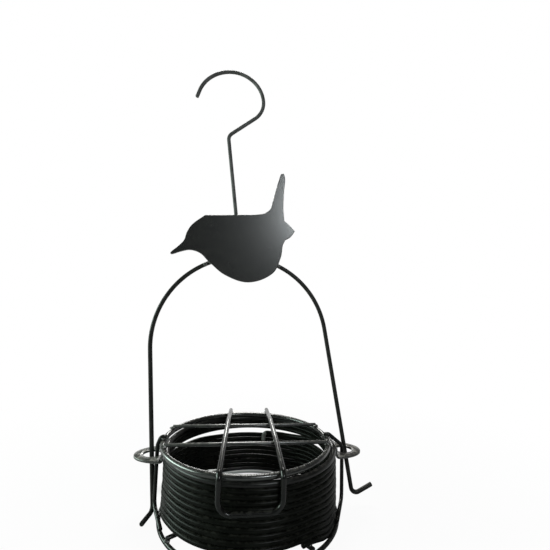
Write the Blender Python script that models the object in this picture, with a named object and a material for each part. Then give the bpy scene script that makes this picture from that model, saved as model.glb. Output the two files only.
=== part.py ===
# Fat ball feeder: a spring-wire cage on a barred base ring, a barred wire lid on two side legs,
# and a wire hanger with a cut-out bird and a hook. It is shown pushed together, standing on a
# table, with its loose hanger leaning in the two ears that guide it.
import math

import bmesh
import bpy
from mathutils import Vector
from mathutils.geometry import interpolate_bezier

# Clearance between two pieces that touch or are welded, in metres like every size here
TOUCH = 0.0003

# Wires
RING_WIRE = 0.0020
COIL_WIRE = 0.0020
LID_RING_WIRE = 0.0026
LID_BAR_WIRE = 0.0018
PULL_WIRE = 0.0025
LEG_WIRE = 0.0020
HANGER_WIRE = 0.0022
HOOK_WIRE = 0.0020

# Cage coil's middle radius, which the rings, the ears, the lid and the hanger follow
COIL_RADIUS = 0.0440

# Base ring, which stands out past the coil, and the two floor bars that cross on it
BASE_RING_OUTSET = 0.0020
FLOOR_BAR_ANGLE = -56.0
FLOOR_BAR_OVERHANG = 0.0004
FLOOR_HUMP_REACH = 0.0110

# Cage coil, from its lower end on a floor bar to its tail inside the back
COIL_START_ANGLE = -62.0
COIL_END_ANGLE = 58.0
COIL_FULL_TURNS = 10
COIL_POINTS_PER_TURN = 24
COIL_END_CLEARANCE = 0.00045
# In front each turn lifts a little more than the one below, so that the last lies under the top ring
COIL_FRONT_LIFT = 0.0010
# At the back the lower turns sink and the last ones lift, so that a gap shows between them
COIL_GAP_TURN = 7
COIL_SINK_ANGLE = 112.0
COIL_SINK = 0.0010
COIL_LIFT = 0.0020
COIL_LIFT_START = 68.0
COIL_LIFT_RISE = 57.0
COIL_LIFT_HOLD = 60.0
COIL_LIFT_FALL = 120.0
COIL_TAIL_LEAD = 8.0
COIL_TAIL_LEAD_INSET = 0.0020
COIL_TAIL_LEAD_SAG = 0.0004
COIL_TAIL_TURN = 18.0
COIL_TAIL_INSET = 0.0032
COIL_TAIL_SAG = 0.0036
COIL_TAIL_DROP = 0.0085
COIL_TAIL_BEND = 0.0022

# Top ring and the ears fixed to its sides
TOP_RING_Z = 0.0335
EAR_TOP_Z = 0.0298
EAR_SHEET = 0.0012
EAR_LENGTH = 0.0154
EAR_HALF_WIDTH = 0.0105
EAR_CLEARANCE = 0.0004
EAR_FLANGE_SHEET = 0.0008
EAR_FLANGE_BELOW = 0.0003
EAR_FLANGE_ABOVE = 0.0003
EAR_FLANGE_MARGIN = 1.0
EAR_HOLE_PLACE = 0.0060
EAR_HOLE_HALF_LENGTH = 0.0048
EAR_HOLE_HALF_WIDTH = 0.0046
EAR_HOLE_CUT = 0.0036

# Lid, which sits a little to the left on the top ring
LID_SHIFT = -0.0025
LID_RING_INSET = 0.0005
LID_BAR_OFFSET = 0.0136
PULL_HALF_WIDTH_REAR = 0.0118
PULL_HALF_WIDTH_FRONT = 0.0133
PULL_SKEW = 0.0030
PULL_BOTTOM_Z = 0.0234
PULL_BEND = 0.0030
PULL_OVER_BEND = 0.0120
PULL_CORNER = 0.0055
LEFT_LEG_INSET = 0.0026
RIGHT_LEG_INSET = 0.0016
LEFT_LEG_Y = -0.0021
RIGHT_LEG_Y = -0.0026
LEG_KNEE_Z = 0.0055
LEG_TOE_Y = -0.0195
LEG_TOE_OUTSET = 0.0004
LEG_BEND = 0.0040
LEG_SHOULDER_BEND = 0.0020
LEG_SLOPE = 0.8
LEG_HEAD_INSIDE = 0.0016

# Hanger, in its own frame: across, then up along its leaning middle line
HANGER_FOOT = Vector((0.0036, 0.0, 0.0005))
HANGER_LEAN = -7.46
ARCH_INSET = 0.0030
ARCH_TOP_UP = 0.1354
ARM_FLARE = 3.1
FOOT_BEND = 0.0030
FOOT_LENGTH = 0.0124
# Each foot's corner height, its rise, and how far it is turned from outwards to the front
RIGHT_FOOT = (-0.0023, 19.0, 0.0)
LEFT_FOOT = (0.0080, 3.0, 78.0)

# Hook above the bird, in the hanger's frame
HOOK_CENTRE = (0.0082, 0.2280)
HOOK_RADIUS = 0.0189
HOOK_TIP_ANGLE = 169.0
HOOK_NECK_RADIUS = 0.0080
HOOK_NECK_ANGLE = -54.0
HOOK_BEND = 0.0045
SHANK_ACROSS = 0.0043
SHANK_END_UP = 0.1460

# Bird plate, in the hanger's frame: across, up, and whether the outline turns a corner there
BIRD_SHEET = 0.0015
BIRD_EDGE = 0.00025
BIRD_EDGE_ANGLE = 50.0
BIRD_STEPS = 4
BIRD_OUTLINE = (
    (-0.0334, 0.1408, False),
    (-0.0293, 0.1438, False),
    (-0.0257, 0.1470, False),
    (-0.0237, 0.1515, False),
    (-0.0202, 0.1558, False),
    (-0.0130, 0.1603, True),
    (0.0045, 0.1592, False),
    (0.0190, 0.1587, False),
    (0.0246, 0.1606, False),
    (0.0271, 0.1648, False),
    (0.0292, 0.1706, False),
    (0.0312, 0.1782, False),
    (0.0333, 0.1818, False),
    (0.0346, 0.1790, False),
    (0.0330, 0.1703, False),
    (0.0317, 0.1610, False),
    (0.0314, 0.1537, True),
    (0.0338, 0.1512, False),
    (0.0369, 0.1471, True),
    (0.0341, 0.1440, False),
    (0.0308, 0.1424, True),
    (0.0291, 0.1395, False),
    (0.0272, 0.1327, False),
    (0.0214, 0.1239, False),
    (0.0077, 0.1203, False),
    (-0.0050, 0.1256, False),
    (-0.0136, 0.1342, True),
    (-0.0175, 0.1390, False),
    (-0.0228, 0.1413, False),
    (-0.0282, 0.1408, False),
    (-0.0330, 0.1398, False),
)

# Straight pieces that stand for each round one
RING_POINTS = 48
LONG_ARC_STEPS = 32
HALF_OVAL_STEPS = 20
SHORT_ARC_STEPS = 8
BEND_STEPS = 5

# Radii and places that follow from the coil
BASE_RING_RADIUS = COIL_RADIUS + BASE_RING_OUTSET
LID_RING_RADIUS = COIL_RADIUS - LID_RING_INSET
EAR_FLANGE_INNER = COIL_RADIUS + RING_WIRE / 2 + EAR_CLEARANCE
EAR_REACH = EAR_FLANGE_INNER + EAR_LENGTH
EAR_HOLE_CENTRE = EAR_FLANGE_INNER + EAR_HOLE_PLACE
LEG_TOE_RADIUS = BASE_RING_RADIUS + LEG_TOE_OUTSET
ARCH_RADIUS = EAR_HOLE_CENTRE - ARCH_INSET
ARCH_CENTRE_UP = ARCH_TOP_UP - ARCH_RADIUS

# Heights that follow from the wires lying on each other
BASE_RING_Z = RING_WIRE / 2
FLOOR_BAR_Z = RING_WIRE + TOUCH + RING_WIRE / 2
COIL_START_Z = FLOOR_BAR_Z + RING_WIRE / 2 + TOUCH + COIL_WIRE / 2
COIL_END_Z = TOP_RING_Z - RING_WIRE / 2 - COIL_WIRE / 2 - COIL_END_CLEARANCE
LID_RING_Z = TOP_RING_Z + RING_WIRE / 2 + TOUCH + LID_RING_WIRE / 2
LID_RING_TOP = LID_RING_Z + LID_RING_WIRE / 2
LID_BAR_Z = LID_RING_TOP + TOUCH + LID_BAR_WIRE / 2
PULL_ON_RING_Z = LID_RING_TOP + TOUCH + PULL_WIRE / 2
PULL_ON_BARS_Z = LID_BAR_Z + LID_BAR_WIRE / 2 + TOUCH + PULL_WIRE / 2
LEG_HEAD_Z = LID_RING_TOP + TOUCH + LEG_WIRE / 2
LEG_TOE_Z = RING_WIRE + TOUCH + LEG_WIRE / 2


def clear_scene():
    for item in list(bpy.data.objects):
        bpy.data.objects.remove(item, do_unlink=True)


def paint(name, colour, roughness):
    material = bpy.data.materials.new(name)
    material.use_nodes = True
    shader = material.node_tree.nodes["Principled BSDF"]
    shader.inputs["Base Color"].default_value = (*colour, 1.0)
    shader.inputs["Roughness"].default_value = roughness
    return material


def wire_paint(name):
    return paint(name + " black wire paint", (0.016, 0.016, 0.015), 0.34)


def spring_paint(name):
    return paint(name + " black spring paint", (0.012, 0.012, 0.010), 0.34)


def ear_paint(name):
    return paint(name + " black ear paint", (0.022, 0.022, 0.021), 0.36)


def bird_paint(name):
    return paint(name + " satin black bird paint", (0.018, 0.019, 0.020), 0.42)


def add(name, data, parent=None):
    item = bpy.data.objects.new(name, data)
    bpy.context.scene.collection.objects.link(item)
    item.parent = parent
    return item


def body(name, location, lean=0.0):
    # An empty that carries every piece moving together
    empty = add(name, None)
    empty.location = location
    empty.rotation_euler.y = math.radians(lean)
    return empty


def wire(name, points, diameter, parent=None, closed=False, sides=2, make_paint=wire_paint):
    # A round wire along the points, which are in the parent's own frame
    curve = bpy.data.curves.new(name, "CURVE")
    curve.dimensions = "3D"
    curve.bevel_depth = diameter / 2
    curve.bevel_resolution = sides
    curve.use_fill_caps = not closed
    spline = curve.splines.new("POLY")
    spline.points.add(len(points) - 1)
    for slot, point in zip(spline.points, points):
        slot.co = (*point, 1.0)
    spline.use_cyclic_u = closed
    curve.materials.append(make_paint(name))
    return add(name, curve, parent)


def circle_points(radius, height):
    turns = [math.tau * step / RING_POINTS for step in range(RING_POINTS)]
    return [Vector((radius * math.cos(turn), radius * math.sin(turn), height)) for turn in turns]


def arc(centre, radius, start, end, steps):
    # Points on an arc in a plane, from start to end in degrees
    angles = [math.radians(start + (end - start) * step / steps) for step in range(steps + 1)]
    return [(centre[0] + radius * math.cos(a), centre[1] + radius * math.sin(a)) for a in angles]


def bent(corners, radii):
    # A wire that runs straight between corners and is bent to a radius at each inner one
    points = [corners[0]]
    for before, corner, after, radius in zip(corners, corners[1:], corners[2:], radii):
        come = (corner - before).normalized()
        leave = (after - corner).normalized()
        turn = come.angle(leave)
        inward = (leave - come * leave.dot(come)).normalized()
        start = corner - come * radius * math.tan(turn / 2)
        for step in range(BEND_STEPS + 1):
            angle = turn * step / BEND_STEPS
            ahead = come * radius * math.sin(angle)
            points.append(start + ahead + inward * radius * (1 - math.cos(angle)))
    points.append(corners[-1])
    return points


def plate(name, outline, thickness, material, parent=None):
    # A flat sheet in the XY plane, from z = 0 up to its thickness
    mesh = bpy.data.meshes.new(name)
    sheet = bmesh.new()
    face = sheet.faces.new([sheet.verts.new((x, y, 0.0)) for x, y in outline])
    raised = bmesh.ops.extrude_face_region(sheet, geom=[face])["geom"]
    moved = [item for item in raised if isinstance(item, bmesh.types.BMVert)]
    bmesh.ops.translate(sheet, verts=moved, vec=(0.0, 0.0, thickness))
    bmesh.ops.recalc_face_normals(sheet, faces=sheet.faces)
    sheet.to_mesh(mesh)
    sheet.free()
    mesh.materials.append(material)
    return add(name, mesh, parent)


def helper(item):
    # Marks a piece that only shapes another one
    item.hide_render = True
    item.display_type = "WIRE"
    return item


def combine(item, other, operation):
    change = item.modifiers.new(operation.title(), "BOOLEAN")
    change.operation = operation
    change.solver = "EXACT"
    change.object = helper(other)


def build_base():
    wire("base_ring", circle_points(BASE_RING_RADIUS, BASE_RING_Z), RING_WIRE, closed=True)
    reach = BASE_RING_RADIUS + FLOOR_BAR_OVERHANG
    hump = RING_WIRE + TOUCH
    for name, angle, rise in (
        ("lower_floor_bar", FLOOR_BAR_ANGLE, 0.0),
        ("upper_floor_bar", FLOOR_BAR_ANGLE + 90.0, hump),
    ):
        along = Vector((math.cos(math.radians(angle)), math.sin(math.radians(angle)), 0.0))
        points = [along * -reach, along * reach]
        if rise:
            # The upper bar steps over the lower one in a smooth hump
            steps = [step / BEND_STEPS - 1.0 for step in range(2 * BEND_STEPS + 1)]
            middle = [
                along * FLOOR_HUMP_REACH * s + Vector((0, 0, rise * math.cos(s * math.pi / 2) ** 2))
                for s in steps
            ]
            points[1:1] = middle
        lift = Vector((0.0, 0.0, FLOOR_BAR_Z))
        wire(name, [point + lift for point in points], RING_WIRE)


def smooth(share):
    # Rises smoothly from 0 to 1 as the share does
    share = min(max(share, 0.0), 1.0)
    return share * share * (3.0 - 2.0 * share)


def coil_lift(angle, share):
    # How far the wire is moved up, or down, from an even helix at this angle and share of its length
    front = (1.0 - math.sin(math.radians(angle))) / 2
    lift = COIL_FRONT_LIFT * share * front ** 2
    away = angle - COIL_SINK_ANGLE
    if math.floor(away / 360.0 + 0.5) <= COIL_GAP_TURN:
        nearness = (1.0 + math.cos(math.radians(away))) / 2
        return lift - COIL_SINK * nearness ** 2
    after = (angle - COIL_LIFT_START) % 360.0
    fall = smooth((after - COIL_LIFT_HOLD) / COIL_LIFT_FALL)
    return lift + COIL_LIFT * smooth(after / COIL_LIFT_RISE) * (1.0 - fall)


def coil_points():
    turns = COIL_FULL_TURNS + (COIL_END_ANGLE - COIL_START_ANGLE) / 360.0
    pitch = (COIL_END_Z - COIL_START_Z) / turns
    count = round(turns * COIL_POINTS_PER_TURN)
    points = []
    for step in range(count + 1):
        turn = turns * step / count
        angle = COIL_START_ANGLE + 360.0 * turn
        height = COIL_START_Z + pitch * turn + coil_lift(angle, step / count)
        points.append(Vector((
            COIL_RADIUS * math.cos(math.radians(angle)),
            COIL_RADIUS * math.sin(math.radians(angle)),
            height,
        )))
    return points + coil_tail(points[-1])


def coil_tail(end):
    # The wire's upper end steps inside the coil, sinks a little and turns straight down
    start = math.radians(COIL_END_ANGLE)

    def spot(degrees, inset, drop):
        angle = start + math.radians(degrees)
        radius = COIL_RADIUS - inset
        return Vector((radius * math.cos(angle), radius * math.sin(angle), end.z - drop))

    lead = spot(COIL_TAIL_LEAD, COIL_TAIL_LEAD_INSET, COIL_TAIL_LEAD_SAG)
    corner = spot(COIL_TAIL_TURN, COIL_TAIL_INSET, COIL_TAIL_SAG)
    below = corner - Vector((0.0, 0.0, COIL_TAIL_DROP))
    return bent([lead, corner, below], [COIL_TAIL_BEND])


def print_least_gap(points):
    # Distance between turns of the coil, measured on its points, less the wire
    far = COIL_POINTS_PER_TURN // 2
    gap = min(
        (second - first).length
        for index, first in enumerate(points)
        for second in points[index + far:]
    )
    print(f"cage_coil least gap to itself {(gap - COIL_WIRE) * 1000:.2f} mm")


def build_coil():
    points = coil_points()
    print_least_gap(points)
    wire("cage_coil", points, COIL_WIRE, sides=1, make_paint=spring_paint)


def ear_outline():
    inner = EAR_FLANGE_INNER + EAR_FLANGE_SHEET / 2
    root = inner * math.cos(math.asin(EAR_HALF_WIDTH / inner))
    half = arc((0.0, 0.0), 1.0, -90.0, 90.0, HALF_OVAL_STEPS)
    outer = [(root + (EAR_REACH - root) * across, EAR_HALF_WIDTH * along) for across, along in half]
    back = math.degrees(math.asin(EAR_HALF_WIDTH / inner))
    return outer + arc((0.0, 0.0), inner, back, -back, SHORT_ARC_STEPS)[1:-1]


def flange_outline():
    back = math.degrees(math.asin(EAR_HALF_WIDTH / EAR_FLANGE_INNER)) - EAR_FLANGE_MARGIN
    outer = arc((0.0, 0.0), EAR_FLANGE_INNER + EAR_FLANGE_SHEET, -back, back, SHORT_ARC_STEPS)
    return outer + arc((0.0, 0.0), EAR_FLANGE_INNER, back, -back, SHORT_ARC_STEPS)


def hole_outline():
    around = arc((0.0, 0.0), 1.0, 0.0, 360.0, 2 * HALF_OVAL_STEPS)[:-1]
    return [
        (EAR_HOLE_CENTRE + EAR_HOLE_HALF_LENGTH * across, EAR_HOLE_HALF_WIDTH * along)
        for across, along in around
    ]


def build_top():
    top = body("top", (0.0, 0.0, TOP_RING_Z))
    wire("top_ring", circle_points(COIL_RADIUS, 0.0), RING_WIRE, top, closed=True)
    ear_z = EAR_TOP_Z - EAR_SHEET - TOP_RING_Z
    for name, facing in (("right_ear", 0.0), ("left_ear", math.pi)):
        ear = plate(name, ear_outline(), EAR_SHEET, ear_paint(name), top)
        rise = EAR_FLANGE_BELOW - ear_z + EAR_FLANGE_ABOVE
        flange = plate(name + "_flange", flange_outline(), rise, ear_paint(name), top)
        hole = plate(name + "_hole", hole_outline(), EAR_HOLE_CUT, ear_paint(name), top)
        ear.location.z = ear_z
        flange.location.z = ear_z - EAR_FLANGE_BELOW
        hole.location.z = ear_z + (EAR_SHEET - EAR_HOLE_CUT) / 2
        for item in (ear, flange, hole):
            item.rotation_euler.z = facing
        combine(ear, flange, "UNION")
        combine(ear, hole, "DIFFERENCE")


def build_lid():
    place = Vector((LID_SHIFT, 0.0, LID_RING_Z))
    lid = body("lid", place)
    wire("lid_ring", circle_points(LID_RING_RADIUS, 0.0), LID_RING_WIRE, lid, closed=True)
    half = math.sqrt(LID_RING_RADIUS ** 2 - LID_BAR_OFFSET ** 2)
    for name, offset in (("lid_front_bar", -LID_BAR_OFFSET), ("lid_rear_bar", LID_BAR_OFFSET)):
        height = LID_BAR_Z - LID_RING_Z
        ends = [Vector((-half, offset, height)), Vector((half, offset, height))]
        wire(name, ends, LID_BAR_WIRE, lid)
    wire("lid_pull_wire", [point - Vector((0, 0, LID_RING_Z)) for point in pull_points()], PULL_WIRE, lid)
    for name, side, inset, y in (
        ("left_lid_leg", -1, LEFT_LEG_INSET, LEFT_LEG_Y),
        ("right_lid_leg", 1, RIGHT_LEG_INSET, RIGHT_LEG_Y),
    ):
        wire(name, [point - place for point in leg_points(side, inset, y)], LEG_WIRE, lid)


def pull_points():
    # One wire: from the back of the ring over both bars, down in front as a loop, and back again
    drop = -LID_RING_RADIUS - LID_RING_WIRE / 2 - TOUCH - PULL_WIRE / 2

    def spot(side, y, z):
        # The wire lies a little askew, so its two ends at the back are moved to the right
        back = (y - drop) / (LID_RING_RADIUS - drop)
        half = PULL_HALF_WIDTH_FRONT + (PULL_HALF_WIDTH_REAR - PULL_HALF_WIDTH_FRONT) * back
        return Vector((side * half + PULL_SKEW * back, y, z))

    places = [
        (LID_RING_RADIUS, PULL_ON_RING_Z),
        (LID_BAR_OFFSET, PULL_ON_BARS_Z),
        (-LID_BAR_OFFSET, PULL_ON_BARS_Z),
        (drop, PULL_ON_RING_Z),
        (drop, PULL_BOTTOM_Z),
    ]
    right = [spot(1, y, z) for y, z in places]
    left = [spot(-1, y, z) for y, z in reversed(places)]
    radii = [PULL_OVER_BEND, PULL_OVER_BEND, PULL_BEND, PULL_CORNER]
    return bent(right + left, radii + radii[::-1])


def leg_points(side, inset, y):
    # From on top of the lid ring, out and down through the ear, to a toe on the base ring
    reach = EAR_HOLE_CENTRE - inset
    ring_x = LID_SHIFT + side * LID_RING_RADIUS
    head = Vector((ring_x - side * LEG_HEAD_INSIDE, y, LEG_HEAD_Z))
    shoulder = Vector((ring_x + side * LID_RING_WIRE / 2, y, LEG_HEAD_Z))
    slant = (reach - side * shoulder.x) * LEG_SLOPE
    elbow = Vector((side * reach, y, LEG_HEAD_Z - max(slant, LEG_BEND)))
    knee = Vector((side * reach, y, LEG_KNEE_Z))
    toe = Vector((side * math.sqrt(LEG_TOE_RADIUS ** 2 - LEG_TOE_Y ** 2), LEG_TOE_Y, LEG_TOE_Z))
    return bent([head, shoulder, elbow, knee, toe], [LEG_SHOULDER_BEND, LEG_BEND, LEG_BEND])


def flat(points):
    # Puts across-and-up points into the hanger's own upright plane
    return [Vector((across, 0.0, up)) for across, up in points]


def arm_end(side, corner_up, rise, swing):
    # The straight arm, the bend at its lower end, and the foot
    flare = math.radians(ARM_FLARE)
    rise = math.radians(rise)
    swing = math.radians(swing)
    top_up = ARCH_CENTRE_UP + ARCH_RADIUS * math.sin(flare)
    top = Vector((side * ARCH_RADIUS * math.cos(flare), 0.0, top_up))
    corner = top + Vector((side * math.tan(flare), 0.0, -1.0)) * (top_up - corner_up)
    outwards = math.cos(rise) * math.cos(swing)
    forwards = math.cos(rise) * math.sin(swing)
    foot = Vector((side * outwards, -forwards, math.sin(rise))) * FOOT_LENGTH
    return bent([top, corner, corner + foot], [FOOT_BEND])


def build_hanger():
    hanger = body("hanger", HANGER_FOOT, HANGER_LEAN)
    arch = flat(arc((0.0, ARCH_CENTRE_UP), ARCH_RADIUS, ARM_FLARE, 180.0 - ARM_FLARE, LONG_ARC_STEPS))
    right = arm_end(1, *RIGHT_FOOT)
    left = arm_end(-1, *LEFT_FOOT)
    wire("hanger_arch", right[:0:-1] + arch + left[1:], HANGER_WIRE, hanger)
    wire("hanging_hook", hook_points(), HOOK_WIRE, hanger)
    build_bird(hanger)


def hook_points():
    # An open eye, a tighter neck back under it, and a straight shank down behind the bird
    loop = arc(HOOK_CENTRE, HOOK_RADIUS, HOOK_TIP_ANGLE, 0.0, HALF_OVAL_STEPS)
    neck_centre = (HOOK_CENTRE[0] + HOOK_RADIUS - HOOK_NECK_RADIUS, HOOK_CENTRE[1])
    neck = arc(neck_centre, HOOK_NECK_RADIUS, 0.0, HOOK_NECK_ANGLE, SHORT_ARC_STEPS)
    end = neck[-1]
    fall = (end[0] - SHANK_ACROSS) / math.tan(math.radians(-HOOK_NECK_ANGLE))
    shank = flat([end, (SHANK_ACROSS, end[1] - fall), (SHANK_ACROSS, SHANK_END_UP)])
    return flat(loop + neck[1:-1]) + bent(shank, [HOOK_BEND])


def smooth_outline(marks, steps):
    # A closed outline through the marks, rounded at each one that is not a corner
    points = []
    count = len(marks)
    for index in range(count):
        before, start, end, after = (marks[(index + shift) % count] for shift in (-1, 0, 1, 2))
        a, b, c, d = (Vector((mark[0], mark[1], 0.0)) for mark in (before, start, end, after))
        span = (c - b).length / 3
        leave = (c - b) if start[2] else (c - a)
        arrive = (c - b) if end[2] else (d - b)
        bow = interpolate_bezier(
            b, b + leave.normalized() * span, c - arrive.normalized() * span, c, steps + 1
        )
        points.extend((point.x, point.y) for point in bow[:-1])
    return points


def build_bird(hanger):
    outline = smooth_outline(BIRD_OUTLINE, BIRD_STEPS)
    bird = plate("bird_plate", outline, BIRD_SHEET, bird_paint("bird_plate"), hanger)
    # Stand the sheet up in front of the arch and the shank
    bird.rotation_euler.x = math.radians(90.0)
    bird.location.y = -HANGER_WIRE / 2 - TOUCH
    edge = bird.modifiers.new("Edge", "BEVEL")
    edge.width = BIRD_EDGE
    edge.segments = 1
    edge.limit_method = "ANGLE"
    edge.angle_limit = math.radians(BIRD_EDGE_ANGLE)


clear_scene()
build_base()
build_coil()
build_top()
build_lid()
build_hanger()
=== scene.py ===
import math

import bmesh
import bpy
from mathutils import Matrix, Vector, noise
from mathutils.geometry import interpolate_bezier


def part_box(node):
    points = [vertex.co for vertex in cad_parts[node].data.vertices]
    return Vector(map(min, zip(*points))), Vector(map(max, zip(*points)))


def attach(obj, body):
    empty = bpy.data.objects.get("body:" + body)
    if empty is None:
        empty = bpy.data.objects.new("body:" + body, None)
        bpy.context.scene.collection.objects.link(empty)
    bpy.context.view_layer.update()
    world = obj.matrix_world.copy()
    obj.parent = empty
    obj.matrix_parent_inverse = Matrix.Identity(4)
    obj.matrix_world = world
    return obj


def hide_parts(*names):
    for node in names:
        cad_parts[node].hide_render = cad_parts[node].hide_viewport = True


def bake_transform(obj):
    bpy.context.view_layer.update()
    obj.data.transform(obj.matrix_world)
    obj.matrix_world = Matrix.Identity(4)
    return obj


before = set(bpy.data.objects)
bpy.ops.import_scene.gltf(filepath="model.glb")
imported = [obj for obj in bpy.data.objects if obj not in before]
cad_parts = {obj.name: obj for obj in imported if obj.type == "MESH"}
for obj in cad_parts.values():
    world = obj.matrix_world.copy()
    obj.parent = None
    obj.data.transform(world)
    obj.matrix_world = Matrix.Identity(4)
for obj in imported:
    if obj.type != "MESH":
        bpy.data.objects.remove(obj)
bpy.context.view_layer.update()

# BASE RING
# A hoop of 2 mm mild steel wire, its ends butted together and welded. The feeder stands on it.
# Like every wire here it was dipped in black paint that dried half glossy and a little uneven.


class Shade:
    """One output of a shader node, so that shades can be added, subtracted and multiplied."""

    def __init__(self, tree, socket=None):
        self.tree = tree
        self.socket = socket

    def node(self, kind, settings, inputs, output=0):
        """Adds any node: its settings are set first, then its inputs. Returns one of its outputs."""
        added = self.tree.nodes.new(kind)
        for name, value in settings.items():
            setattr(added, name, value)
        for name, value in inputs.items():
            if isinstance(value, Shade):
                self.tree.links.new(value.socket, added.inputs[name])
            else:
                added.inputs[name].default_value = value
        return Shade(self.tree, added.outputs[output])

    def sum(self, operation, first, second):
        """A Math node on two values."""
        return self.node("ShaderNodeMath", {"operation": operation}, {0: first, 1: second})

    def __add__(self, other):
        return self.sum("ADD", self, other)

    def __sub__(self, other):
        return self.sum("SUBTRACT", self, other)

    def __mul__(self, other):
        return self.sum("MULTIPLY", self, other)

    def __rsub__(self, other):
        return self.sum("SUBTRACT", other, self)

    __radd__ = __add__
    __rmul__ = __mul__

    def between(self, low, high):
        """0 below low and 1 above high, with a smooth step from one to the other."""
        return self.node(
            "ShaderNodeMapRange",
            {"interpolation_type": "SMOOTHSTEP"},
            {"Value": self, "From Min": low, "From Max": high},
        )

    def mixed(self, first, second):
        """The first colour where this shade is 0 and the second where it is 1."""
        return self.node("ShaderNodeMix", {"data_type": "RGBA"}, {0: self, 6: first, 7: second}, 2)


def grain(shade, scale, detail=3.0):
    """Cloudy noise that stays with the piece, with scale in clouds per metre."""
    place = shade.node("ShaderNodeTexCoord", {}, {}, "Object")
    return shade.node("ShaderNodeTexNoise", {}, {"Vector": place, "Scale": scale, "Detail": detail})


def black_paint(name, colour, roughness, patchy, shine, peel, dust_and_sheen, bare=0.0):
    """Dipped black paint: cloudy colour, patchy gloss, orange peel, dust and a painted sheen on top, bare
    metal in spots.
    """
    thin_colour = [1.6 * part + 0.001 for part in colour]
    dust_and_sheen_colour = (0.21, 0.20, 0.17, 1.0)
    dust_and_sheen_roughness = 0.2
    metal_colour = (0.40, 0.39, 0.37, 1.0)
    fine_peel = 0.4
    peel_depth = 0.0001
    material = bpy.data.materials.new(name)
    material.use_nodes = True
    surface = material.node_tree.nodes["Principled BSDF"]
    surface.inputs["Specular IOR Level"].default_value = shine
    paint = Shade(material.node_tree)
    thin = grain(paint, scale=210.0).between(0.38, 0.68)
    black = thin.mixed((*colour, 1.0), (*thin_colour, 1.0))
    facing = paint.node("ShaderNodeNewGeometry", {}, {}, "Normal")
    # Faces turned up are painted lighter: partly dust, partly a painted sheen for the light from above
    upward = paint.node("ShaderNodeSeparateXYZ", {}, {"Vector": facing}, "Z").between(0.35, 1.0)
    dust_and_sheen_mask = upward * grain(paint, scale=520.0, detail=6.0).between(0.42, 0.66)
    dust_and_sheen_coloured = (dust_and_sheen_mask * dust_and_sheen).mixed(black, dust_and_sheen_colour)
    worn = grain(paint, scale=900.0, detail=4.0).between(0.56, 0.66) * bare
    worn_colour = worn.mixed(dust_and_sheen_coloured, metal_colour)
    patches = grain(paint, scale=330.0, detail=5.0) * patchy
    rough = patches + dust_and_sheen_mask * dust_and_sheen_roughness * dust_and_sheen + (roughness - patchy / 2)
    bumps = fine_peel * grain(paint, scale=1500.0, detail=2.0) + grain(paint, scale=420.0, detail=2.0)
    skin = paint.node("ShaderNodeBump", {}, {"Strength": peel, "Distance": peel_depth, "Height": bumps})
    links = material.node_tree.links
    links.new(worn_colour.socket, surface.inputs["Base Color"])
    links.new(rough.socket, surface.inputs["Roughness"])
    links.new(worn.socket, surface.inputs["Metallic"])
    links.new(skin.socket, surface.inputs["Normal"])
    return material


def add_piece(name, points, faces):
    """A mesh in the scene whose four-cornered faces are shaded smooth and whose other faces are flat."""
    mesh = bpy.data.meshes.new(name)
    mesh.from_pydata(points, [], faces)
    for face in mesh.polygons:
        face.use_smooth = len(face.vertices) == 4
    piece = bpy.data.objects.new(name, mesh)
    bpy.context.scene.collection.objects.link(piece)
    return piece


def round_wire(name, path, thickness, closed=False, sides=16):
    """A wire along the path. The cut ends of an open one have their sharp edges dulled."""
    path = [Vector(point) for point in path]
    ahead = path[1:] + path[:1]
    behind = path[-1:] + path[:-1]
    if not closed:
        ahead[-1] = path[-1]
        behind[0] = path[0]
    ways = [(after - before).normalized() for after, before in zip(ahead, behind)]
    sections = [(point, way, 1.0) for point, way in zip(path, ways)]
    if not closed:
        # How deep below a cut end each section lies, in thicknesses, and its share of the full width
        dulled = ((0.0, 0.72), (0.05, 0.90), (0.14, 1.0))
        first = [(path[0] + ways[0] * thickness * depth, ways[0], size) for depth, size in dulled]
        last = [(path[-1] - ways[-1] * thickness * depth, ways[-1], size) for depth, size in dulled]
        sections = first + sections[1:-1] + last[::-1]
    upright = abs(sections[0][1].z) > 0.9
    normal = Vector((0.0, 1.0, 0.0)) if upright else Vector((0.0, 0.0, 1.0))
    points = []
    for point, way, size in sections:
        normal = (normal - way * normal.dot(way)).normalized()
        across = way.cross(normal)
        for side in range(sides):
            turn = math.tau * side / sides
            out = normal * math.cos(turn) + across * math.sin(turn)
            points.append(point + out * thickness / 2 * size)
    count = len(sections)
    faces = []
    for section in range(count if closed else count - 1):
        here = section * sides
        there = (section + 1) % count * sides
        for side in range(sides):
            beside = (side + 1) % sides
            faces.append((here + side, here + beside, there + beside, there + side))
    if not closed:
        faces.append(tuple(reversed(range(sides))))
        faces.append(tuple(range((count - 1) * sides, count * sides)))
    return add_piece(name, points, faces)


def ring_path(node, steps=180):
    """The middle line and the thickness of a flat wire ring, taken from its CAD node."""
    low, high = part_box(node)
    thickness = high.z - low.z
    middle = (low + high) / 2
    radius = (high.x - low.x - thickness) / 2
    turns = [math.tau * step / steps for step in range(steps)]
    path = [middle + radius * Vector((math.cos(turn), math.sin(turn), 0.0)) for turn in turns]
    return path, thickness


def fit(piece, material, body, node):
    """Paints a piece, lets it ride on its body, if it has one, and shows it in place of its CAD node."""
    piece.data.materials.append(material)
    if body:
        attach(piece, body)
    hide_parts(node)


wire_paint = black_paint(
    "dipped black wire", (0.006, 0.006, 0.0055),
    roughness=0.30, patchy=0.16, shine=0.20, peel=0.08, dust_and_sheen=0.10,
)
base_path, base_wire = ring_path("base_ring")
base_ring = round_wire("base_ring_wire", base_path, base_wire, closed=True)
fit(base_ring, wire_paint, "base", "base_ring")

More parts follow.
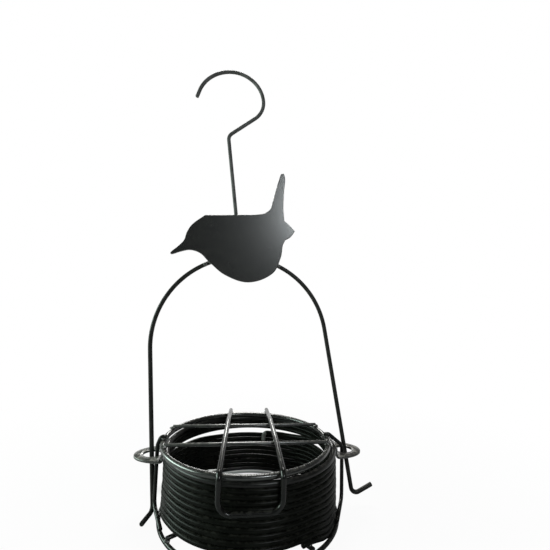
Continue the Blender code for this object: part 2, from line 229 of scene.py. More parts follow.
# FLOOR BARS
# Two straight lengths of the same wire that cross on the base ring and keep the fat balls in.
# The upper one is pressed into a small hump over the lower one, and both are spot welded down.
floor_height = 0.0033
floor_reach = 0.0464
floor_angle = math.radians(-56.0)
hump_height = 0.0023
hump_reach = 0.0110
hump_steps = 32
lower_way = Vector((math.cos(floor_angle), math.sin(floor_angle), 0.0))
upper_way = Vector((-lower_way.y, lower_way.x, 0.0))
up = Vector((0.0, 0.0, 1.0))

lower_path = [lower_way * -floor_reach + up * floor_height, lower_way * floor_reach + up * floor_height]
lower_bar = round_wire("lower_floor_wire", lower_path, base_wire)
fit(lower_bar, wire_paint, "base", "lower_floor_bar")

hump = []
for step in range(hump_steps + 1):
    along = 2.0 * step / hump_steps - 1.0
    rise = hump_height * math.cos(along * math.pi / 2) ** 2
    hump.append(upper_way * hump_reach * along + up * (floor_height + rise))
upper_ends = [upper_way * -floor_reach + up * floor_height, upper_way * floor_reach + up * floor_height]
upper_bar = round_wire("upper_floor_wire", upper_ends[:1] + hump + upper_ends[1:], base_wire)
fit(upper_bar, wire_paint, "base", "upper_floor_bar")

# CAGE COIL
# One long spring of hard steel wire, wound ten and a third turns and shown pushed together. Its lower
# end lies on a floor bar; the upper one steps inside the back and is turned straight down.
coil_wire = 0.00262
coil_radius = 0.0440
coil_steps = 1000
coil_sides = 12

# Angles are degrees round the feeder, from its right side by way of the back
coil_start_angle = -62.0
coil_start_height = 0.0056
coil_end_angle = 58.0
coil_end_height = 0.03105
whole_turns = 10
coil_turns = whole_turns + (coil_end_angle - coil_start_angle) / 360.0
coil_pitch = (coil_end_height - coil_start_height) / coil_turns

# The turns climb at the back on the left and lie level in front; the last ones climb on the right
front_from = 118.0
front_whole = 172.0
climb_from = 360.0
climb_whole = 388.0

# Except in front, the turns sag between the ends of the floor bars: how far down and how far out,
# then the angles at which a sag begins, is whole, starts to end and is over
side_dips = [
    (0.0028, -0.0002, 28.0, 58.0, 106.0, 136.0),
    (0.0024, 0.0002, 126.0, 155.0, 186.0, 213.0),
    (0.0036, 0.0002, 302.0, 324.0, 352.0, 393.0),
]

# The very end: its step inwards, the way it sinks, and the tail that is turned down past it
step_in = 0.0024
inset_from = 332.0
inset_whole = 360.0
end_sag = 0.0055
sag_from = 355.0
tail_lead_turn = 8.0
tail_lead_inset = 0.0027
tail_turn = 17.0
tail_inset = 0.0032
tail_drop = 0.0050
tail_bend = 0.0022

# No spring is wound quite evenly: how much it sways and swells, over how many degrees, and from where
sway_size = 0.0001
sway_span = 130.0
sway_seed = 3.7
swell_size = 0.0003
swell_span = 210.0
swell_seed = 9.1


def bent(corners, radii, steps=10):
    """A wire path that runs straight between corners and is bent to a radius at each inner one."""
    points = [corners[0]]
    for before, corner, after, radius in zip(corners, corners[1:], corners[2:], radii):
        come = (corner - before).normalized()
        leave = (after - corner).normalized()
        turn = come.angle(leave)
        inward = (leave - come * leave.dot(come)).normalized()
        start = corner - come * radius * math.tan(turn / 2)
        for step in range(steps + 1):
            angle = turn * step / steps
            ahead = come * radius * math.sin(angle)
            points.append(start + ahead + inward * radius * (1.0 - math.cos(angle)))
    points.append(corners[-1])
    return points


def round_the_axis(degrees, radius, height):
    """A place at this angle, distance and height from the middle of the feeder's foot."""
    angle = math.radians(degrees)
    return Vector((radius * math.cos(angle), radius * math.sin(angle), height))


def smooth(share):
    """A smooth step from 0 to 1."""
    share = min(max(share, 0.0), 1.0)
    return share * share * (3.0 - 2.0 * share)


# How much of the wire lies below the last two turns
share_below = 1.0 - 2.0 / coil_turns
coil_path = []
coil_share = []
for step in range(coil_steps + 1):
    share = step / coil_steps
    angle = coil_start_angle + 360.0 * coil_turns * share
    height = coil_start_height + (coil_end_height - coil_start_height) * share
    ahead = 360.0 * coil_turns * (1.0 - share)
    turns_left = ahead // 360.0
    place = coil_end_angle + 360.0 - ahead % 360.0
    spare = coil_pitch * (360.0 + coil_end_angle - place) / 360.0
    in_front = smooth((place - front_from) / (front_whole - front_from))
    height += spare * in_front * min(share / share_below, 1.0)
    radius = coil_radius
    for dip, bulge, dip_from, dip_whole, dip_until, dip_end in side_dips:
        past = (angle - dip_from) % 360.0
        dipped = smooth(past / (dip_whole - dip_from))
        dipped *= 1.0 - smooth((past + dip_from - dip_until) / (dip_end - dip_until))
        height -= dip * dipped * (1.0 - share)
        radius += bulge * dipped * (1.0 - share)
    climb = smooth((place - climb_from) / (climb_whole - climb_from))
    if turns_left == 2:
        height += (coil_end_height - coil_pitch - height) * climb
    elif turns_left < 2:
        # The last two turns lie level under the top ring, away from the ones below
        height = coil_end_height - coil_pitch * max(turns_left - climb, 0.0)
    if turns_left == 0:
        # The very end steps inside the turn before it and sinks towards its tail
        radius -= step_in * smooth((place - inset_from) / (inset_whole - inset_from))
        height -= end_sag * smooth((place - sag_from) / (coil_end_angle + 360.0 - sag_from))
    loose = math.sin(math.pi * share)
    sway = noise.noise(Vector((angle / sway_span, sway_seed, 0.0))) * loose
    swell = noise.noise(Vector((angle / swell_span, swell_seed, 0.0))) * loose
    coil_path.append(round_the_axis(angle, radius + swell_size * swell, height + sway_size * sway))
    coil_share.append(share)
tail_height = coil_end_height - end_sag
tail_lead = round_the_axis(coil_end_angle + tail_lead_turn, coil_radius - tail_lead_inset, tail_height)
tail_corner = round_the_axis(coil_end_angle + tail_turn, coil_radius - tail_inset, tail_height)
tail = bent([tail_lead, tail_corner, tail_corner - up * tail_drop], [tail_bend])
coil_path += tail
coil_share += [1.0] * len(tail)
coil_paint = black_paint(
    "dipped black spring wire", (0.0030, 0.0033, 0.0025),
    roughness=0.30, patchy=0.20, shine=0.046, peel=0.16, dust_and_sheen=0.07,
)
coil = round_wire("cage_spring", coil_path, coil_wire, sides=coil_sides)
fit(coil, coil_paint, None, "cage_coil")
# A wire has this many cross-sections more than its path at each dulled end
end_sections = 2
# The tail is painted a lighter grey, from the second point of its bend
tail_paint = black_paint(
    "lighter grey end of the spring", (0.090, 0.090, 0.083),
    roughness=0.30, patchy=0.10, shine=0.60, peel=0.10, dust_and_sheen=0.30,
)
coil.data.materials.append(tail_paint)
lighter_tail_point = len(coil_path) - len(tail) + 2
lighter_tail_from = coil_sides * (lighter_tail_point + end_sections)
for face in coil.data.polygons:
    if min(face.vertices) >= lighter_tail_from:
        face.material_index = 1
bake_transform(coil)
# The share along the coil for each cross-section of the wire, with its dulled ends at 0 and 1
section_share = [0.0] * end_sections + coil_share + [1.0] * end_sections

# TOP RING
# A second hoop of wire, 2.7 mm thick with its paint, that closes the cage. The coil's last turn is
# welded under it and the lid rests on it; it rises with the coil when the feeder is filled.
top_fullness = 1.35
top_lift = 0.0002
top_lift_slope = 2.0
top_path, top_wire = ring_path("top_ring")
for point in top_path:
    # It springs up a little at the back on the left, where the lid overhangs it
    point.z += top_lift * smooth(top_lift_slope * min(point.y, -point.x) / coil_radius)
top_ring = round_wire("top_ring_wire", top_path, top_fullness * top_wire, closed=True)
fit(top_ring, wire_paint, "top", "top_ring")

# EARS
# A pair of half-oval tongues pressed from 1.2 mm sheet, each with a punched hole that a lid leg
# and a hanger arm run through, folded up at the root and welded to the coil's top by that flange.
ear_low = 0.0286
ear_high = 0.0298
ear_root = 0.0463
ear_reach = 0.0608
ear_half_width = 0.0105
ear_edge = 0.00022
hole_place = 0.0514
hole_half_length = 0.0048
hole_half_width = 0.0046
flange_inside = 0.0454
flange_outside = 0.0462
flange_foot = 0.0470
flange_top = 0.0338
flange_half_angle = 12.2
flange_steps = 16
foot_sink = 0.00005
fold_radius = 0.0012
fold_steps = 6
inner_fold = 0.0003


def loop_faces(loops, count):
    """Faces between neighbouring loops of points, the last loop joined back to the first."""
    faces = []
    for loop in range(loops):
        here = loop * count
        there = (loop + 1) % loops * count
        for step in range(count):
            beside = (step + 1) % count
            faces.append((here + step, here + beside, there + beside, there + step))
    return faces


def ear_rim(angle):
    """The way of a line from the hole's middle at this angle, and how far along it the ear ends."""
    inner = ear_root * math.cos(math.asin(ear_half_width / ear_root))
    way = Vector((math.cos(angle), math.sin(angle)))
    near = 0.0
    far = 0.03
    for halving in range(30):
        length = (near + far) / 2
        x = hole_place + way.x * length
        y = way.y * length
        oval = max(x - inner, 0.0) / (ear_reach - inner)
        inside = oval ** 2 + (y / ear_half_width) ** 2 < 1.0 and math.hypot(x, y) > ear_root
        if inside:
            near = length
        else:
            far = length
    return way, near


def ear_mesh(name, side, count=96):
    """The tongue as eight loops round its hole, then the folded flange as one bent strip."""
    loops = [[] for loop in range(8)]
    for step in range(count):
        way, reach = ear_rim(math.tau * step / count)
        hole = 1.0 / math.hypot(way.x / hole_half_length, way.y / hole_half_width)
        places = (
            (hole, ear_low + ear_edge),
            (hole + ear_edge, ear_low),
            (reach - ear_edge, ear_low),
            (reach, ear_low + ear_edge),
            (reach, ear_high - ear_edge),
            (reach - ear_edge, ear_high),
            (hole + ear_edge, ear_high),
            (hole, ear_high - ear_edge),
        )
        for loop, (length, height) in zip(loops, places):
            x = hole_place + way.x * length
            loop.append(Vector((side * x, side * way.y * length, height)))
    points = [point for loop in loops for point in loop]
    faces = [face[::-1] for face in loop_faces(len(loops), count)]
    fold = [(flange_inside, flange_top - ear_edge), (flange_inside, ear_low + fold_radius)]
    for step in range(1, fold_steps):
        angle = math.pi + math.pi / 2 * step / fold_steps
        out = flange_inside + fold_radius * (1.0 + math.cos(angle))
        fold.append((out, ear_low + fold_radius * (1.0 + math.sin(angle))))
    fold += [(flange_foot, ear_low + foot_sink), (flange_foot, ear_high - foot_sink)]
    fold += [(flange_outside + inner_fold, ear_high - foot_sink), (flange_outside, ear_high + inner_fold)]
    fold += [(flange_outside, flange_top - ear_edge), (flange_outside - ear_edge, flange_top)]
    fold += [(flange_inside + ear_edge, flange_top)]
    start = len(points)
    for turn in range(flange_steps + 1):
        angle = flange_half_angle * (2.0 * turn / flange_steps - 1.0)
        for radius, height in fold:
            spot = round_the_axis(angle, radius, height)
            points.append(Vector((side * spot.x, side * spot.y, height)))
    size = len(fold)
    for turn in range(flange_steps):
        here = start + turn * size
        for step in range(size):
            beside = (step + 1) % size
            faces.append((here + step, here + beside, here + size + beside, here + size + step))
    last = start + flange_steps * size
    faces.append(tuple(range(start + size - 1, start - 1, -1)))
    faces.append(tuple(range(last, last + size)))
    return add_piece(name, points, faces)


# The ear sheet is painted a lighter grey with much dust on top, partly as a painted sheen of the bright
# backdrop and the light above
ear_paint = black_paint(
    "black ear sheet", (0.030, 0.030, 0.028),
    roughness=0.28, patchy=0.08, shine=0.62, peel=0.03, dust_and_sheen=0.52,
)
for name, side in (("right_ear", 1), ("left_ear", -1)):
    fit(ear_mesh(name + "_sheet", side), ear_paint, "top", name)

# LID RING
# A hoop of thicker wire, 2.8 mm with its paint, that sits loose on the top ring, a little to the left,
# and carries the rest of the lid. Its upper side is painted lighter, as dust and as a painted sheen from
# above.
lid_fullness = 1.08
lid_paint = black_paint(
    "black lid wire with dust and painted sheen", (0.012, 0.012, 0.011),
    roughness=0.24, patchy=0.04, shine=0.70, peel=0.015, dust_and_sheen=0.22,
)
lid_path, lid_wire = ring_path("lid_ring")
lid_ring = round_wire("lid_ring_wire", lid_path, lid_fullness * lid_wire, closed=True)
fit(lid_ring, lid_paint, "lid", "lid_ring")

# LID BARS
# Two thinner wires laid side by side across the lid ring and welded to it at their ends, so that
# no fat ball can be lifted out from above while the lid is down.
# The bar wire is painted a lighter grey with dust on top, partly as dust and partly as a painted sheen
# from the light above
bar_paint = black_paint(
    "black bar wire with dust and painted sheen", (0.036, 0.036, 0.034),
    roughness=0.24, patchy=0.04, shine=0.75, peel=0.015, dust_and_sheen=0.28,
)
for node in ("lid_front_bar", "lid_rear_bar"):
    low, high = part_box(node)
    bar_wire = high.z - low.z
    middle = (low + high) / 2
    ends = [Vector((low.x, middle.y, middle.z)), Vector((high.x, middle.y, middle.z))]
    fit(round_wire(node + "_wire", ends, bar_wire), bar_paint, "lid", node)

# LID PULL WIRE
# One 2.5 mm wire that runs from the back of the lid ring over both bars, is bent down in front as a
# loop for a finger and runs back again. It lies a little askew.
lid_shift = -0.0025
pull_wire = 0.0025
pull_back_y = 0.0435
pull_front_y = -0.04635
pull_bar_y = 0.0136
pull_ring_height = 0.03895
pull_bar_height = 0.04105
pull_bottom = 0.0234
pull_half_back = 0.0118
pull_half_front = 0.0133
pull_skew = 0.0030
pull_bar_bend = 0.0120
pull_front_bend = 0.0030
pull_loop_bend = 0.0055


def pull_spot(side, y, height):
    """A place on the left (-1) or right (1) run of the pull wire, this far back and this high."""
    back = (y - pull_front_y) / (pull_back_y - pull_front_y)
    half = pull_half_front + (pull_half_back - pull_half_front) * back
    return Vector((lid_shift + side * half + pull_skew * back, y, height))


pull_places = (
    (pull_back_y, pull_ring_height),
    (pull_bar_y, pull_bar_height),
    (-pull_bar_y, pull_bar_height),
    (pull_front_y, pull_ring_height),
    (pull_front_y, pull_bottom),
)
pull_corners = [pull_spot(1, *place) for place in pull_places]
pull_corners += [pull_spot(-1, *place) for place in reversed(pull_places)]
pull_bends = [pull_bar_bend, pull_bar_bend, pull_front_bend, pull_loop_bend]
pull = round_wire("lid_pull_loop", bent(pull_corners, pull_bends + pull_bends[::-1]), pull_wire)
pull_paint = black_paint(
    "dipped black pull wire", (0.004, 0.004, 0.0036),
    roughness=0.20, patchy=0.04, shine=0.25, peel=0.015, dust_and_sheen=0.12,
)
fit(pull, pull_paint, "lid", "lid_pull_wire")

# LID LEGS
# A 2 mm wire on each side, welded on top of the lid ring and bent out and down through the hole in
# the ear. Its toe is bent forward over the base ring, so the lid lifts but can't come away.
leg_wire = 0.0020
leg_top = 0.0387
leg_weld_reach = 0.0435
leg_head = 0.0016
leg_shoulder = 0.0013
leg_slope = 0.8
leg_least_drop = 0.0040
knee_height = 0.0055
toe_forward = 0.0195
toe_reach = math.sqrt(floor_reach ** 2 - toe_forward ** 2)
leg_bends = [0.0020, 0.0040, 0.0040]
# Each leg with its side, how far out it hangs and where it stands from front to back
lid_legs = (("left_lid_leg", -1, 0.0488, -0.0021), ("right_lid_leg", 1, 0.0498, -0.0026))
for name, side, reach, leg_y in lid_legs:
    ring_x = lid_shift + side * leg_weld_reach
    head = Vector((ring_x - side * leg_head, leg_y, leg_top))
    shoulder = Vector((ring_x + side * leg_shoulder, leg_y, leg_top))
    drop = max((reach - side * shoulder.x) * leg_slope, leg_least_drop)
    elbow = Vector((side * reach, leg_y, leg_top - drop))
    knee = Vector((side * reach, leg_y, knee_height))
    toe = Vector((side * toe_reach, -toe_forward, floor_height))
    leg_path = bent([head, shoulder, elbow, knee, toe], leg_bends)
    fit(round_wire(name + "_wire", leg_path, leg_wire), wire_paint, "lid", name)

# HANGER ARCH
# One wire, 2.35 mm thick with its paint, bent into an arch that leans loosely to the left. Its arms
# drop through the ears and end in feet: the right one turned out and up, the left one to the front.
hanger_wire = 0.00235
hanger_shift = (0.0036, 0.0, 0.0005)
hanger_lean = math.radians(-7.46)
hanger_place = Matrix.Translation(hanger_shift) @ Matrix.Rotation(hanger_lean, 4, "Y")
arch_radius = 0.0484
arch_centre_up = 0.0870
arch_steps = 96
arm_flare = 3.1
foot_length = 0.0124
foot_bend = 0.0030


def arc(centre, radius, start, end, steps):
    """Points of an arc in the hanger's upright plane, from start to end in degrees."""
    points = []
    for step in range(steps + 1):
        angle = math.radians(start + (end - start) * step / steps)
        across = centre[0] + radius * math.cos(angle)
        points.append(Vector((across, 0.0, centre[1] + radius * math.sin(angle))))
    return points


def arm_end(side, corner_up, rise, swing):
    """The straight arm, the bend at its lower end, and the foot, with its rise and swing in degrees."""
    flare = math.radians(arm_flare)
    rise = math.radians(rise)
    swing = math.radians(swing)
    top = Vector((side * arch_radius * math.cos(flare), 0.0, 0.0))
    top.z = arch_centre_up + arch_radius * math.sin(flare)
    corner = top + Vector((side * math.tan(flare), 0.0, -1.0)) * (top.z - corner_up)
    level = math.cos(rise)
    foot = Vector((side * level * math.cos(swing), -level * math.sin(swing), math.sin(rise)))
    return bent([top, corner, corner + foot * foot_length], [foot_bend])


hanger_paint = black_paint(
    "dipped black hanger wire", (0.0120, 0.0120, 0.0108),
    roughness=0.40, patchy=0.06, shine=0.12, peel=0.01, dust_and_sheen=0.03,
)
right_arm = arm_end(side=1, corner_up=-0.0023, rise=19.0, swing=0.0)
left_arm = arm_end(side=-1, corner_up=0.0080, rise=3.0, swing=78.0)
arch = arc((0.0, arch_centre_up), arch_radius, arm_flare, 180.0 - arm_flare, arch_steps)
arch_path = [hanger_place @ point for point in right_arm[:0:-1] + arch + left_arm[1:]]
hanger = round_wire("hanger_arch_wire", arch_path, hanger_wire)
fit(hanger, hanger_paint, "hanger", "hanger_arch")

# HANGING HOOK
# A wire about 2 mm thick, bent into an open eye that hangs over a branch and drawn back under it by a
# tighter neck, with a straight shank welded down the back of the bird.
hook_wire = 0.0021
hook_centre = (0.0082, 0.2280)
hook_radius = 0.0189
eye_from = 157.0
eye_steps = 64
eye_stretch = 1.05
eye_tip = 0.0041
neck_radius = 0.0125
neck_angle = 59.0
neck_steps = 16
neck_centre = (hook_centre[0] + hook_radius - neck_radius, hook_centre[1])
shank_across = 0.0043
shank_end_up = 0.1460
hook_bend = 0.0045
eye = arc(hook_centre, hook_radius, eye_from, 0.0, eye_steps)
for point in eye:
    # Its open side is drawn out a little
    point.x = min(point.x, hook_centre[0] + eye_stretch * (point.x - hook_centre[0]))
eye_end = eye[0] + (eye[0] - eye[1]).normalized() * eye_tip
eye.insert(0, eye_end)
neck = arc(neck_centre, neck_radius, 0.0, -neck_angle, neck_steps)
neck_end = neck[-1]
fall = (neck_end.x - shank_across) / math.tan(math.radians(neck_angle))
shank_top = Vector((shank_across, 0.0, neck_end.z - fall))
shank = bent([neck_end, shank_top, Vector((shank_across, 0.0, shank_end_up))], [hook_bend])
hook_path = [hanger_place @ point for point in eye + neck[1:-1] + shank]
hook = round_wire("hanging_hook_wire", hook_path, hook_wire)
hook_paint = black_paint(
    "dipped black hook wire", (0.052, 0.052, 0.050),
    roughness=0.42, patchy=0.06, shine=0.10, peel=0.01, dust_and_sheen=0.03,
)
fit(hook, hook_paint, "hanger", "hanging_hook")

# BIRD PLATE
# A small perching bird cut from 1.5 mm steel sheet, with its cut edge lightly rounded, painted satin
# black and welded to the front of the arch and the hook's shank.
bird_sheet = 0.0015
bird_front = -0.0029
bird_edge = 0.0003
bird_steps = 12
# From the beak over back, tail and belly: how far across, how high, and whether the corner is sharp
bird_outline = (
    (-0.0334, 0.1408, False),
    (-0.0293, 0.1438, False),
    (-0.0257, 0.1470, False),
    (-0.0237, 0.1515, False),
    (-0.0202, 0.1558, False),
    (-0.0130, 0.1603, True),
    (0.0045, 0.1592, False),
    (0.0190, 0.1587, False),
    (0.0238, 0.1608, False),
    (0.0257, 0.1648, False),
    (0.0279, 0.1706, False),
    (0.0310, 0.1782, False),
    (0.0333, 0.1818, False),
    (0.0346, 0.1790, False),
    (0.0330, 0.1703, False),
    (0.0317, 0.1610, False),
    (0.0314, 0.1537, True),
    (0.0338, 0.1512, False),
    (0.0369, 0.1471, True),
    (0.0341, 0.1440, False),
    (0.0308, 0.1424, True),
    (0.0291, 0.1395, False),
    (0.0272, 0.1327, False),
    (0.0214, 0.1239, False),
    (0.0077, 0.1203, False),
    (-0.0050, 0.1256, False),
    (-0.0136, 0.1342, True),
    (-0.0175, 0.1390, False),
    (-0.0228, 0.1413, False),
    (-0.0282, 0.1408, False),
    (-0.0330, 0.1398, False),
)


def smooth_outline(marks, steps):
    """A closed outline through the marks, rounded at each one that is not a corner."""
    points = []
    count = len(marks)
    for index in range(count):
        before, start, end, after = (marks[(index + shift) % count] for shift in (-1, 0, 1, 2))
        a, b, c, d = (Vector((mark[0], 0.0, mark[1])) for mark in (before, start, end, after))
        span = (c - b).length / 3
        leave = ((c - b) if start[2] else (c - a)).normalized() * span
        arrive = ((c - b) if end[2] else (d - b)).normalized() * span
        points += interpolate_bezier(b, b + leave, c - arrive, c, steps + 1)[:-1]
    return points


bird_mesh = bpy.data.meshes.new("bird_sheet")
sheet = bmesh.new()
to_front = Vector((0.0, bird_front, 0.0))
corners = [sheet.verts.new(point + to_front) for point in smooth_outline(bird_outline, bird_steps)]
front = sheet.faces.new(corners)
raised = bmesh.ops.extrude_face_region(sheet, geom=[front])["geom"]
moved = [part for part in raised if isinstance(part, bmesh.types.BMVert)]
bmesh.ops.translate(sheet, verts=moved, vec=(0.0, bird_sheet, 0.0))
bmesh.ops.recalc_face_normals(sheet, faces=sheet.faces)
rims = [edge for edge in sheet.edges if any(len(face.verts) > 4 for face in edge.link_faces)]
bmesh.ops.bevel(sheet, geom=rims, offset=bird_edge, segments=3, profile=0.5, affect="EDGES")
for face in sheet.faces:
    face.smooth = len(face.verts) == 4
sheet.to_mesh(bird_mesh)
sheet.free()
bird_mesh.transform(hanger_place)
bird = bpy.data.objects.new("bird_sheet", bird_mesh)
bpy.context.scene.collection.objects.link(bird)
bird_paint = black_paint(
    "satin black bird sheet", (0.0056, 0.0056, 0.0045),
    roughness=0.27, patchy=0.02, shine=1.00, peel=0.01, dust_and_sheen=0.06,
)
fit(bird, bird_paint, "hanger", "bird_plate")

# WELDS
# Small beads of weld where wires cross or meet the sheet, lumpy and shinier than the wire, with the
# paint burnt thin and grey metal showing through. The base, top, lid and hanger each have their own.
weld_paint = black_paint(
    "burnt weld", (0.020, 0.020, 0.018),
    roughness=0.30, patchy=0.22, shine=0.50, peel=0.35, dust_and_sheen=0.25, bare=0.75,
)
large_lumps = 0.35
large_lump_scale = 1.7
small_lumps = 0.12
small_lump_scale = 5.0


def weld_beads(name, places, body):
    """Lumpy beads, each at a place with its half sizes along x, y and z."""
    beads = bmesh.new()
    for number, (place, size) in enumerate(places):
        made = bmesh.ops.create_icosphere(beads, subdivisions=3, radius=1.0)["verts"]
        large_seed = Vector((number * 5.3, 0.0, 0.0))
        small_seed = Vector((0.0, number * 2.9, 0.0))
        for corner in made:
            lump = 1.0 + large_lumps * noise.noise(corner.co * large_lump_scale + large_seed)
            lump += small_lumps * noise.noise(corner.co * small_lump_scale + small_seed)
            x, y, z = corner.co * lump
            corner.co = place + Vector((x * size[0], y * size[1], z * size[2]))
    for face in beads.faces:
        face.smooth = True
    mesh = bpy.data.meshes.new(name)
    beads.to_mesh(mesh)
    beads.free()
    mesh.materials.append(weld_paint)
    piece = bpy.data.objects.new(name, mesh)
    bpy.context.scene.collection.objects.link(piece)
    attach(piece, body)


# On the base: where the floor bars cross, where they lie on the ring, and where the coil begins
crossing_height = 0.0045
bar_weld_reach = 0.0458
bar_weld_height = 0.0021
coil_weld = round_the_axis(degrees=-56.5, radius=0.0441, height=0.0046)
base_places = [(up * crossing_height, (0.0013, 0.0013, 0.0006))]
for way in (lower_way, upper_way):
    for sign in (1, -1):
        bar_weld = way * sign * bar_weld_reach + up * bar_weld_height
        base_places.append((bar_weld, (0.0013, 0.0013, 0.0008)))
base_places.append((coil_weld, (0.0012, 0.0012, 0.0007)))
weld_beads("base_welds", base_places, "base")

# On the top: between the coil's end and the ring, and at both sides of each ear's flange
ring_weld = round_the_axis(degrees=coil_end_angle - 2.0, radius=coil_radius, height=0.0323)
flange_weld_turn = 9.0
flange_weld_radius = 0.0452
flange_weld_height = 0.0336
top_places = [(ring_weld, (0.0016, 0.0011, 0.0006))]
for degrees in (0.0, 180.0):
    for turn in (-flange_weld_turn, flange_weld_turn):
        flange_weld = round_the_axis(degrees + turn, flange_weld_radius, flange_weld_height)
        top_places.append((flange_weld, (0.0009, 0.0014, 0.0008)))
weld_beads("top_welds", top_places, "top")

# On the lid: the ends of the bars, the pull wire over bars and ring, and the heads of the legs
bar_end_reach = 0.0410
bar_end_height = 0.0379
pull_over_bar_height = 0.0397
pull_back_weld = (pull_back_y - 0.0004, 0.0376)
pull_front_weld = (-0.0449, 0.0368)
leg_bead_reach = 0.0432
leg_bead_height = 0.0377
lid_places = []
for name, side, reach, leg_y in lid_legs:
    for y in (-pull_bar_y, pull_bar_y):
        bar_end = Vector((lid_shift + side * bar_end_reach, y, bar_end_height))
        lid_places.append((bar_end, (0.0017, 0.0013, 0.0009)))
        lid_places.append((pull_spot(side, y, pull_over_bar_height), (0.0012, 0.0009, 0.0006)))
    lid_places.append((pull_spot(side, *pull_back_weld), (0.0013, 0.0010, 0.0008)))
    lid_places.append((pull_spot(side, *pull_front_weld), (0.0012, 0.0007, 0.0010)))
    leg_bead = Vector((lid_shift + side * leg_bead_reach, leg_y, leg_bead_height))
    lid_places.append((leg_bead, (0.0015, 0.0015, 0.0009)))
weld_beads("lid_welds", lid_places, "lid")

# On the hanger: behind the bird, along the arch at both sides of it and down the hook's shank
hanger_weld_y = -0.0010
arch_welds = ((-0.0151, 0.1328), (-0.0120, 0.1338), (0.0232, 0.1294), (0.0256, 0.1279))
shank_weld_heights = (0.1485, 0.1565)
hanger_places = []
for across, height in arch_welds:
    arch_weld = hanger_place @ Vector((across, hanger_weld_y, height))
    hanger_places.append((arch_weld, (0.0012, 0.0007, 0.0012)))
for height in shank_weld_heights:
    shank_weld = hanger_place @ Vector((shank_across, hanger_weld_y, height))
    hanger_places.append((shank_weld, (0.0012, 0.0007, 0.0016)))
weld_beads("hanger_welds", hanger_places, "hanger")

# STUDIO
# A white table and a white backdrop behind it, with the dark room on the camera's side. A soft light
# hangs overhead, a window is at the back, a pale wall and a strip light are on the left, and a small
# window is up to the right behind the camera.
table_radius = 6.0
near_white = 0.95
floor_mesh = bpy.data.meshes.new("white_table")
table = bmesh.new()
bmesh.ops.create_circle(table, cap_ends=True, segments=96, radius=table_radius)
table.to_mesh(floor_mesh)
table.free()
floor = bpy.data.objects.new("white_table", floor_mesh)
bpy.context.scene.collection.objects.link(floor)
floor_material = bpy.data.materials.new("white table")
floor_material.use_nodes = True
tree = floor_material.node_tree
surface = tree.nodes["Principled BSDF"]
surface.inputs["Base Color"].default_value = (0.40, 0.40, 0.40, 1.0)
surface.inputs["Roughness"].default_value = 0.9
surface.inputs["Specular IOR Level"].default_value = 0.0
shade = Shade(tree)
seen = shade.node("ShaderNodeLightPath", {}, {}, "Is Camera Ray")
mirrored = (
    shade.node("ShaderNodeLightPath", {}, {}, "Is Glossy Ray")
    + shade.node("ShaderNodeLightPath", {}, {}, "Is Transmission Ray")
)
spot = shade.node("ShaderNodeTexCoord", {}, {}, "Object")
distance = shade.node("ShaderNodeVectorMath", {"operation": "LENGTH"}, {0: spot}, "Value")
white = shade.node("ShaderNodeEmission", {}, {"Color": (1.0, 1.0, 1.0, 1.0), "Strength": 1.0})
plain = Shade(tree, surface.outputs["BSDF"])
behind = shade.node("ShaderNodeSeparateXYZ", {}, {"Vector": spot}, "Y").between(0.05, 0.20)
rear = shade.node("ShaderNodeSeparateXYZ", {}, {"Vector": spot}, "Y").between(0.015, 0.030)
# The table keeps its own shade in a narrow band under and close behind the rear of the base ring
under = rear * distance.between(0.0395, 0.0415) * (1.0 - distance.between(0.050, 0.062))
faint_shadow = near_white + (1.0 - near_white) * distance.between(0.05, 0.30)
share = (seen + mirrored * behind) * (1.0 - under) * faint_shadow
mix = shade.node("ShaderNodeMixShader", {}, {0: share, 1: plain, 2: white})
tree.links.new(mix.socket, tree.nodes["Material Output"].inputs["Surface"])
floor_mesh.materials.append(floor_material)

world = bpy.data.worlds.new("white backdrop")
world.use_nodes = True
bpy.context.scene.world = world
tree = world.node_tree
tree.nodes.clear()
shade = Shade(tree)
seen = shade.node("ShaderNodeLightPath", {}, {}, "Is Camera Ray")
mirrored = (
    shade.node("ShaderNodeLightPath", {}, {}, "Is Glossy Ray")
    + shade.node("ShaderNodeLightPath", {}, {}, "Is Transmission Ray")
)
way = shade.node("ShaderNodeTexCoord", {}, {}, "Generated")
behind = shade.node("ShaderNodeSeparateXYZ", {}, {"Vector": way}, "Y").between(0.05, 0.45)
high = shade.node("ShaderNodeSeparateXYZ", {}, {"Vector": way}, "Z").between(0.12, 0.32)
room = shade.node("ShaderNodeBackground", {}, {"Color": (0.9, 0.95, 1.0, 1.0), "Strength": 0.07})
backdrop = shade.node("ShaderNodeBackground", {}, {"Color": (1.0, 1.0, 1.0, 1.0), "Strength": 1.0})
share = seen + mirrored * behind * (1.0 - high)
mix = shade.node("ShaderNodeMixShader", {}, {0: share, 1: room, 2: backdrop})
output = tree.nodes.new("ShaderNodeOutputWorld")
tree.links.new(mix.socket, output.inputs["Surface"])


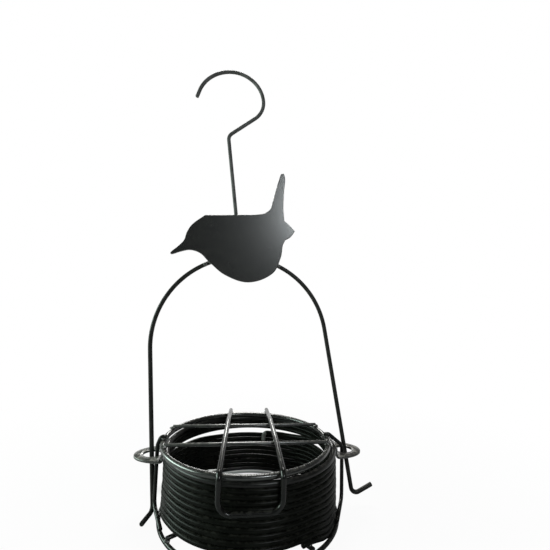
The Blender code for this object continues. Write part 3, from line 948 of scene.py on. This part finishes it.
def soft_light(name, place, aim, size, power, colour):
    """A soft light, with its width and height as size, that the camera doesn't see."""
    lamp = bpy.data.lights.new(name, "AREA")
    lamp.shape = "RECTANGLE"
    lamp.size, lamp.size_y = size
    lamp.energy = power
    lamp.color = colour
    light = bpy.data.objects.new(name, lamp)
    light.visible_camera = False
    bpy.context.scene.collection.objects.link(light)
    light.location = place
    light.rotation_euler = (Vector(aim) - Vector(place)).to_track_quat("-Z", "Y").to_euler()


soft_light(
    "overhead_softbox", place=(0.0, 0.32, 0.85), aim=(0.0, 0.0, 0.05),
    size=(0.3, 0.3), power=7.5, colour=(1.0, 0.99, 0.96),
)
soft_light(
    "back_window", place=(0.0, 0.95, 0.44), aim=(0.0, 0.0, 0.04),
    size=(0.22, 0.22), power=2.4, colour=(1.0, 1.0, 0.97),
)
soft_light(
    "left_wall", place=(-0.80, 0.08, 0.25), aim=(0.0, 0.0, 0.03),
    size=(0.7, 0.3), power=10.0, colour=(0.80, 1.0, 0.90),
)
soft_light(
    "left_strip", place=(-0.75, -0.30, 0.22), aim=(0.0, 0.0, 0.05),
    size=(0.10, 0.30), power=0.8, colour=(0.82, 1.0, 0.90),
)
soft_light(
    "right_window", place=(0.18, -0.46, 0.32), aim=(0.02, 0.0, 0.15),
    size=(0.12, 0.10), power=1.2, colour=(0.92, 0.98, 1.0),
)

# CAMERA
# A phone held low and close in front of the feeder, tipped a little up and a little round, so that
# the cage below is seen from above and the hook above it from below.
camera_place = (-0.01284, -0.19393, 0.10616)
yaw = -0.120
pitch = 0.100
roll = 0.026
camera_data = bpy.data.cameras.new("phone")
camera_data.lens = 22.44
camera_data.sensor_width = 36.0
camera_data.clip_start = 0.01
camera = bpy.data.objects.new("phone", camera_data)
bpy.context.scene.collection.objects.link(camera)
forward = Vector((-math.sin(yaw) * math.cos(pitch), math.cos(yaw) * math.cos(pitch), math.sin(pitch)))
level = Vector((math.cos(yaw), math.sin(yaw), 0.0))
upright = level.cross(forward)
right = level * math.cos(roll) + upright * math.sin(roll)
top = upright * math.cos(roll) - level * math.sin(roll)
turned = Matrix((right, top, -forward)).transposed().to_4x4()
camera.matrix_world = Matrix.Translation(camera_place) @ turned
bpy.context.scene.camera = camera
bpy.context.scene.view_settings.view_transform = "Standard"
